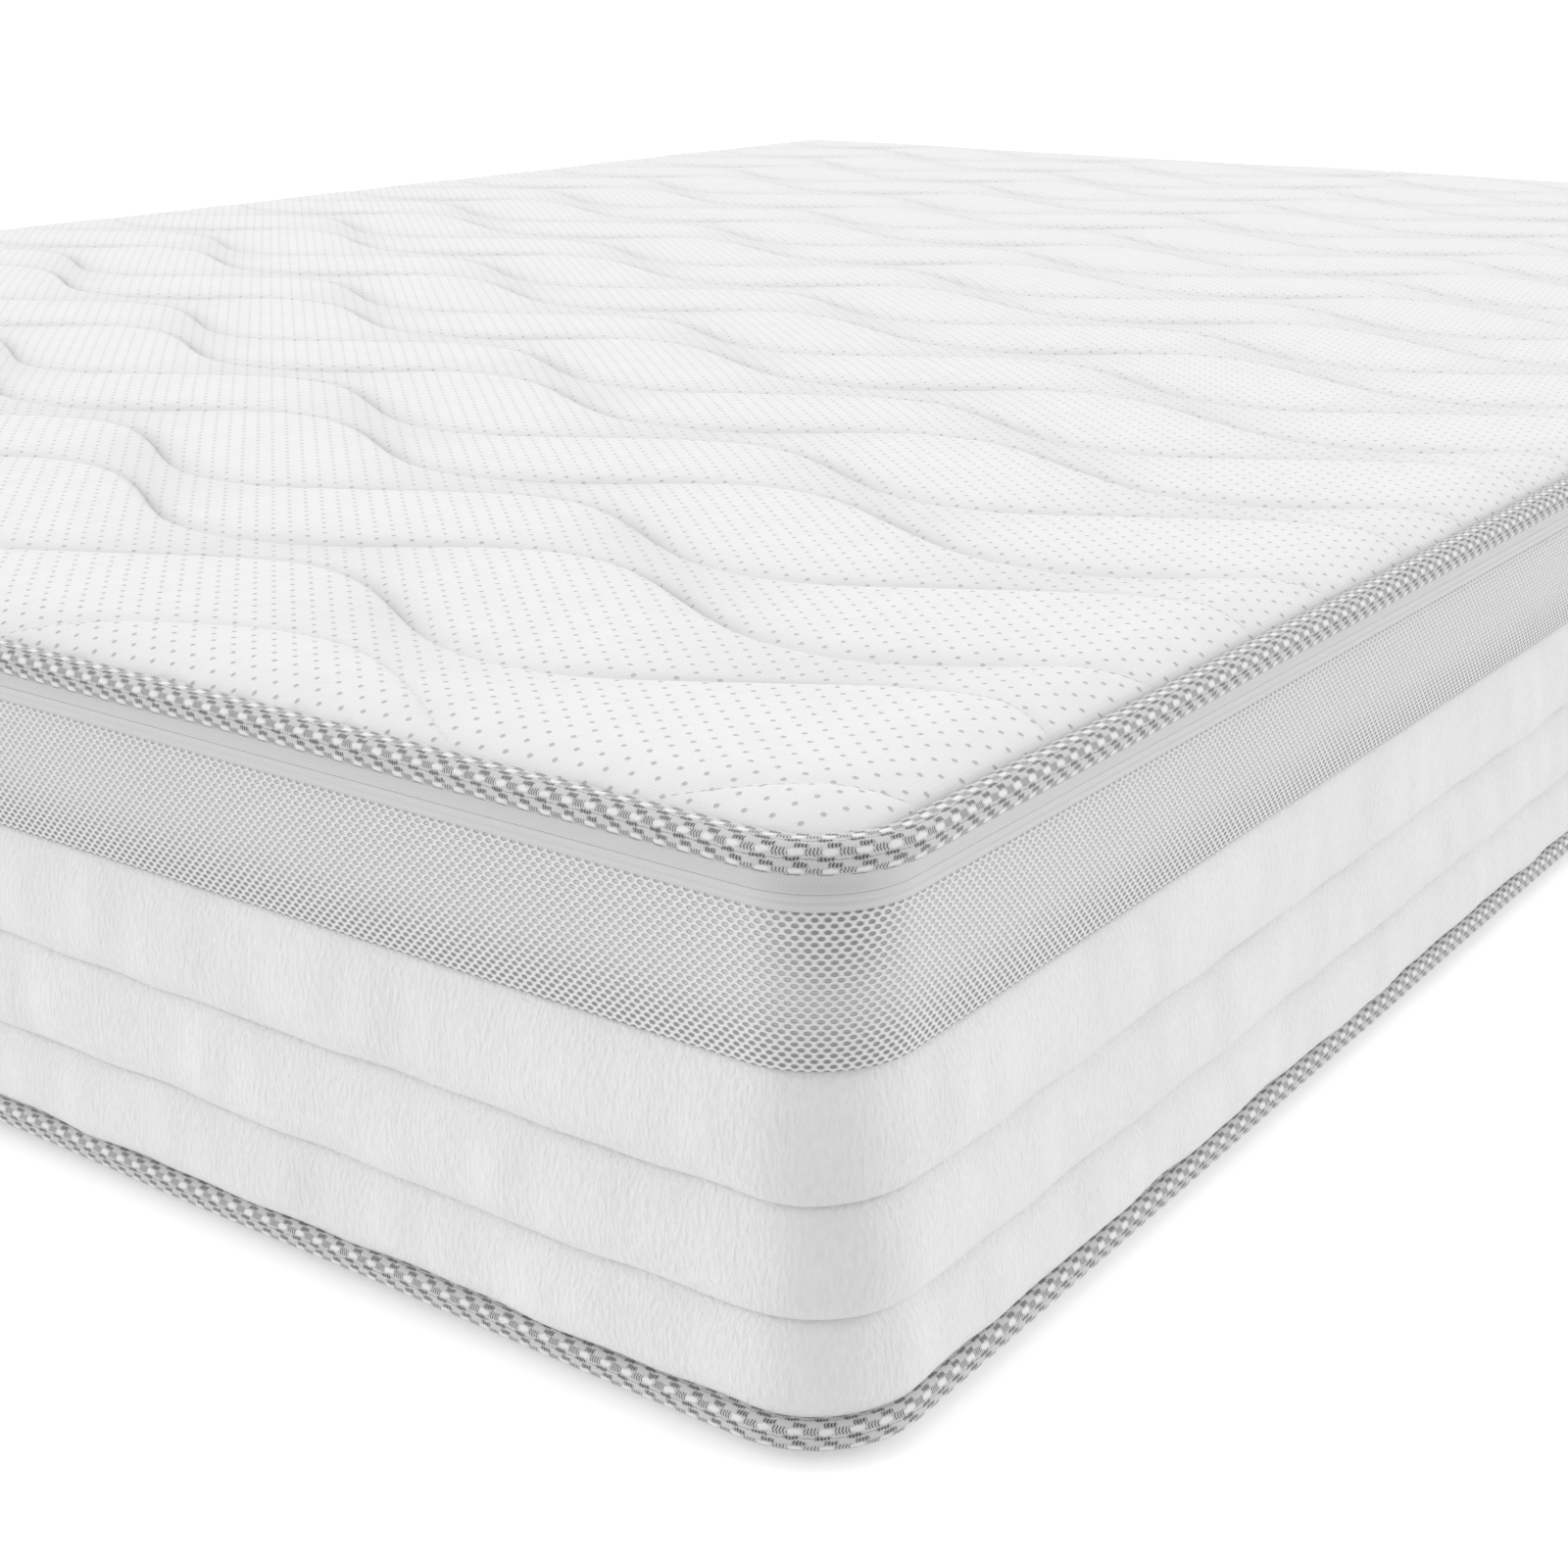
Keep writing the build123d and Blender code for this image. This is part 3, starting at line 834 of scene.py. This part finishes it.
def enamel_look(tree):
    # Baked paint over a casting: faint orange peel, a touch greyer where hands rub it
    peel = grain(tree, 0.9 * MM)
    worn = grain(tree, 4 * MM)
    height = add(tree, "Math", {0: peel, 1: 0.03 * MM}, operation="MULTIPLY")
    colour = add(tree, "Mix", {0: worn, 6: linear("d4d4d2"), 7: linear("f0f0ee")}, data_type="RGBA")
    return colour, height


enamelled_zinc = finish("enamelled_zinc", enamel_look, Roughness=0.3, IOR=1.5, Coat_Weight=0.3)
for node in ("zip_slider_body", "zip_pull_tab", "zip_stop_start", "zip_stop_end"):
    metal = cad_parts[node]
    metal.data.materials.clear()
    metal.data.materials.append(enamelled_zinc)

# --- Upper half of the zip --------------------------------------------------------------
# The matching tape and coil are sewn under the top edge tape, and come off with the top.

upper_fold = fold_section(MEETING, upper_high.z + 1.5 * MM, 0.5 * MM, -0.9 * MM, (), 71)
upper_tape_fold = ring("upper_zip_tape", 5 * MM, upper_fold, zip_tape)
place(upper_tape_fold, "top_cover", "zip_white", "zip_tape_upper")
coil_ring("upper_zip_coil", "zip_coil_upper", "top_cover")

# --- Quilted top: backing and wadding ---------------------------------------------------
# The top is a sandwich sewn on a quilting machine: a spunbonded web below, polyester fibre
# in the middle, and the knit above. The machine sews long waves across the width.

WAVE = 286.5 * MM
WAVE_RISE = 29 * MM
LINE_GAP = 69.25 * MM
FIRST_LINE = -HALF_Y + 29 * MM
CRESTS = (421.7 * MM, 348.3 * MM)  # where even and odd lines have a crest
LINES = range(-2, round(2 * HALF_Y / LINE_GAP) + 2)


def quilt_line(number, x):
    """Place along the mattress of a sewn wave, at each x."""
    crest = CRESTS[number % 2]
    return FIRST_LINE + number * LINE_GAP + WAVE_RISE * np.cos(TURN * (x - crest) / WAVE)


def puff(x, y):
    """Share of full loft, from 0 where a sewn line runs aslant to 1 on the crown of a wide
    channel, which rises slowly from its near line and drops fast to its far one. The level
    stretches of a line are pulled in less deep."""
    lines = np.stack([quilt_line(n, x) for n in LINES])
    slants = np.stack([np.sin(TURN * (x - CRESTS[n % 2]) / WAVE) ** 2 for n in LINES])
    index = np.clip((lines <= y).sum(0) - 1, 0, len(LINES) - 2)[None]
    low = np.take_along_axis(lines, index, 0)[0]
    wide = np.take_along_axis(lines, index + 1, 0)[0] - low
    t = np.clip((y - low) / wide, 0, 1)
    loft = np.clip(wide / (85 * MM), 0, 1) ** 0.7
    slant = [np.take_along_axis(slants, index + k, 0)[0] for k in (0, 1)]
    pull = 0.6 + 0.4 * (slant[0] * (1 - t) + slant[1] * t)
    near, far = np.clip(1 - t / 0.15, 0, 1) ** 2, np.clip(1 - (1 - t) / 0.09, 0, 1) ** 2
    swell = 0.85 * (1 - near - far) + 0.15 * np.sin(math.pi * t)
    return 1 - pull * (1 - loft * swell)


def quilt_grid(across, rows):
    """Grid whose rows follow the sewn waves, closer together near them."""
    x = np.linspace(-HALF_X, HALF_X, round(2 * HALF_X / across) + 1)
    t = (1 - np.cos(np.linspace(0, math.pi, rows + 1)[:-1])) / 2
    y = []
    for number in LINES[:-1]:
        low, high = quilt_line(number, x), quilt_line(number + 1, x)
        y += [low + (high - low) * share for share in t]
    y = np.array(y)
    return np.broadcast_to(x, y.shape), y


knit_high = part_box("top_knit")[1]
back_low, back_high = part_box("top_backing")
TOP_RIM = HALF_X - knit_high.x
SEAM_LEVEL = knit_high.z - 6.0 * MM
CROWN_LEVEL = knit_high.z - 0.3 * MM
RIM_LEVEL = knit_high.z - 10.0 * MM
RIM_ROLL = 26 * MM  # width of the strip that rolls down to the tape


def sewn_share(room):
    """The waves are pulled in less and less towards the rim, where the tape holds the top."""
    return 0.3 + 0.7 * np.clip((room - 20 * MM) / (60 * MM), 0, 1)


def top_level(x, y, room):
    """Height of the knitted face: low at the rim under the tape, then puffed and sewn."""
    rise = np.sin(np.clip(room / RIM_ROLL, 0, 1) * TURN / 4) ** 0.7
    slow = 0.5 * MM * np.sin(x / (83 * MM) + 1.7 * np.sin(y / (131 * MM)))
    sewn_in = (CROWN_LEVEL - 0.5 * MM - SEAM_LEVEL) * sewn_share(room) * (1 - puff(x, y))
    quilted = CROWN_LEVEL - 0.5 * MM - sewn_in + slow * puff(x, y)
    return RIM_LEVEL + (quilted - RIM_LEVEL) * rise


def web_level(x, y, room):
    """Underside of the quilt: the web is drawn up a little at each sewn wave."""
    return back_low.z + 1.6 * MM * (1 - puff(x, y)) * np.clip(room / RIM_ROLL, 0, 1)


def web_over(x, y, room):
    return web_level(x, y, room) + 0.5 * MM


web = panel("quilt_backing_web", *quilt_grid(12 * MM, 8), TOP_RIM, web_over, web_level, spunbond, 60)
place(web, "top_cover", "nonwoven", "top_backing")


def fibre_over(x, y, room):
    return top_level(x, y, room) - 0.9 * MM


def fibre_under(x, y, room):
    return web_over(x, y, room) + 0.1 * MM


FIBRE_RIM = TOP_RIM + 1 * MM
fibre = panel(
    "quilt_fibre", *quilt_grid(12 * MM, 8), FIBRE_RIM, fibre_over, fibre_under, carded_fibre, 60
)
place(fibre, "top_cover", "fibre_wadding", "top_wadding")

# --- Quilted top: knit and quilting thread ----------------------------------------------
# The face is white double-jersey polyester. The knitting machine draws a small grey dimple
# into it every 9 mm, in staggered rows that run a little off square.

# The two steps of the dimples' slanting lattice, in mm: along a row, and to the next row
ROW_STEP, NEXT_ROW = (9.0, 0.6), (3.3, 5.9)


def knit_look(tree):
    # Round dimples of about 1.7 mm; between them the jersey's loops, drawn 1.3 mm apart
    cloth = add(tree, "UVMap", uv_map="cloth")
    area = (ROW_STEP[0] * NEXT_ROW[1] - ROW_STEP[1] * NEXT_ROW[0]) * MM
    to_u = (NEXT_ROW[1] / area, -NEXT_ROW[0] / area, 0)
    to_v = (-ROW_STEP[1] / area, ROW_STEP[0] / area, 0)
    u = add(tree, "VectorMath", {0: cloth, 1: to_u}, out="Value", operation="DOT_PRODUCT")
    v = add(tree, "VectorMath", {0: cloth, 1: to_v}, out="Value", operation="DOT_PRODUCT")
    lattice = add(tree, "CombineXYZ", {0: u, 1: v})
    cell = add(tree, "VectorMath", {0: lattice}, operation="FRACTION")
    away = add(tree, "VectorMath", {0: cell, 1: (-0.5, -0.5, 0)}, operation="ADD")
    to_x, to_y = (ROW_STEP[0], NEXT_ROW[0], 0), (ROW_STEP[1], NEXT_ROW[1], 0)
    x = add(tree, "VectorMath", {0: away, 1: to_x}, out="Value", operation="DOT_PRODUCT")
    y = add(tree, "VectorMath", {0: away, 1: to_y}, out="Value", operation="DOT_PRODUCT")
    mark = spot(tree, add(tree, "CombineXYZ", {0: x, 1: y}), (0, 0), (0.78, 0.78), 0.45)
    loops = spot(tree, repeats(tree, (1.3 * MM, 1.0 * MM)), (0.5, 0.5), (0.4, 0.4), 0.5)
    fibre_tone = grain(tree, 6 * MM)
    loose = add(tree, "Mix", {0: fibre_tone, 6: linear("e4e4e4"), 7: linear("ececec")}, data_type="RGBA")
    # Painted shade: where a seam pulls the knit in, it is painted greyer, by how far the seam pulls it
    sewn_in = add(tree, "Attribute", out="Fac", attribute_name="sewn_in")
    white = add(tree, "Mix", {0: sewn_in, 6: loose, 7: linear("d6d6d6")}, data_type="RGBA")
    colour = add(tree, "Mix", {0: mark, 6: white, 7: linear("bcbcbc")}, data_type="RGBA")
    sunk = add(tree, "Math", {0: mark, 1: -0.3 * MM}, operation="MULTIPLY")
    return colour, add(tree, "Math", {0: loops, 1: 0.05 * MM, 2: sunk}, operation="MULTIPLY_ADD")


# Soft brushed polyester jersey: matt and very white
jersey = finish("dimpled_jersey", knit_look, Roughness=0.85, Sheen_Weight=0.15)


def knit_under(x, y, room):
    return top_level(x, y, room) - 0.8 * MM


knit = panel("quilted_knit_top", *quilt_grid(6 * MM, 16), TOP_RIM, top_level, knit_under, jersey, 75)
knit_x, knit_y = np.array([vertex.co[:2] for vertex in knit.data.vertices]).T
# How far the seams pull each point in, kept on the knit to paint shade along them
knit_seam_shade = (1 - puff(knit_x, knit_y)) * sewn_share(inside(knit_x, knit_y, TOP_RIM)[2])
sewn = knit.data.attributes.new("sewn_in", "FLOAT", "POINT")
sewn.data.foreach_set("value", knit_seam_shade.astype(np.float32))
place(knit, "top_cover", "knit_white", "top_knit")

TOP_STITCH = 3.6 * MM


def quilt_thread():
    """Thread of every sewn wave, as one piece: it dips into the knit at each stitch."""
    reach = HALF_X - TOP_RIM - 3 * MM
    limit = HALF_Y - TOP_RIM - 3 * MM
    x = np.arange(-reach, reach, TOP_STITCH / 4)
    sides = 4
    points, faces = [], []
    for number in LINES:
        y = quilt_line(number, x)
        keep = np.abs(y) < limit
        cuts = np.flatnonzero(np.diff(keep.astype(int))) + 1
        for part in np.split(np.arange(len(x)), cuts):
            if not keep[part[0]] or len(part) < 8:
                continue
            px, py = x[part], y[part]
            room = inside(px, py, TOP_RIM)[2]
            level = top_level(px, py, room)
            level = level + 0.2 * MM * np.cos(TURN * px / TOP_STITCH)
            angle = TURN * np.arange(sides)[None, :] / sides
            ring_y = py[:, None] + 0.18 * MM * np.cos(angle)
            ring_z = level[:, None] + 0.18 * MM * np.sin(angle)
            ring_x = np.broadcast_to(px[:, None], ring_y.shape)
            start = sum(len(p) for p in points)
            points.append(np.stack([ring_x, ring_y, ring_z], -1).reshape(-1, 3))
            along = start + np.arange(len(px) - 1)[:, None] * sides
            a = (along + np.arange(sides)).reshape(-1)
            b = (along + (np.arange(sides) + 1) % sides).reshape(-1)
            faces.append(np.stack([a, a + sides, b + sides, b], 1))
            ends = [start + np.arange(sides)[::-1], start + (len(px) - 1) * sides + np.arange(sides)]
            faces.append(np.array(ends))
    points, faces = np.concatenate(points), np.concatenate(faces)
    return piece("quilting_thread", points, faces, points[faces][:, :, :2], sewing_thread)


top_thread = quilt_thread()
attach(top_thread, "top_cover")

# --- Top edge tape ----------------------------------------------------------------------
# The same webbing as below binds the quilted top to the upper half of the zip.

upper_tape = ring("top_edge_tape", 3 * MM, tape_section("top_tape", 17), jacquard)
place(upper_tape, "top_cover", "edge_tape", "top_tape")

# --- Floor, light and camera ------------------------------------------------------------
# A white studio: a pale floor that runs out of sight, even white light from all round, and
# three large soft lamps.

FLOOR = 40.0  # metres along each side


def floor_look(tree):
    speckle = grain(tree, 20 * MM)
    height = add(tree, "Math", {0: speckle, 1: 0.01 * MM}, operation="MULTIPLY")
    colour = add(tree, "Mix", {0: speckle, 6: linear("fafafa"), 7: linear("ffffff")}, data_type="RGBA")
    return colour, height


# Acrylic sheet lit a little from below, which keeps all but the closest shadows off it
lit = {"Emission_Color": (1, 1, 1, 1), "Emission_Strength": 0.3}
studio_floor = finish("lit_acrylic_floor", floor_look, Roughness=0.9, **lit)
bpy.ops.mesh.primitive_plane_add(size=FLOOR, location=(0, 0, 0))
floor = bpy.context.object
floor.name = "studio_floor"
floor.data.materials.append(studio_floor)
floor.visible_diffuse = False  # light from below comes from the world alone, evenly

world = bpy.data.worlds.new("studio")
bpy.context.scene.world = world
world.use_nodes = True
sky = world.node_tree.nodes["Background"]
sky.inputs["Color"].default_value = (1, 1, 1, 1)
upward = add(world.node_tree, "TexCoord", out="Generated")
upward = add(world.node_tree, "SeparateXYZ", {0: upward}, out="Z")
glow = add(world.node_tree, "MapRange", {0: upward, 1: -0.3, 2: 0.3, 3: 0.86, 4: 0.53})
world.node_tree.links.new(glow, sky.inputs["Strength"])

# Wide soft lamps: a high one from the head end, and low ones from the left and the right
LAMPS = {
    "high_lamp": ((-0.25, 0.45, 0.86), 1.05),
    "left_lamp": ((-0.77, -0.60, 0.20), 1.9),
    "right_lamp": ((0.80, 0.56, 0.20), 1.45),
}
for lamp_name, (direction, energy) in LAMPS.items():
    lamp_data = bpy.data.lights.new(lamp_name, "SUN")
    lamp_data.energy, lamp_data.angle = energy, math.radians(70)
    lamp = bpy.data.objects.new(lamp_name, lamp_data)
    bpy.context.scene.collection.objects.link(lamp)
    lamp.rotation_euler = Vector(direction).to_track_quat("Z", "Y").to_euler()
bpy.context.scene.view_settings.view_transform = "Standard"

# The camera is a little over half a metre from the near foot corner, at knee height
camera_data = bpy.data.cameras.new("camera")
camera_data.sensor_width, camera_data.lens = 36.0, 55.15
camera = bpy.data.objects.new("camera", camera_data)
bpy.context.scene.collection.objects.link(camera)
camera.location = (0.9991, -1.4310, 0.4176)
camera.rotation_euler = (math.radians(70.61), 0, math.radians(35.63))
bpy.context.scene.camera = camera
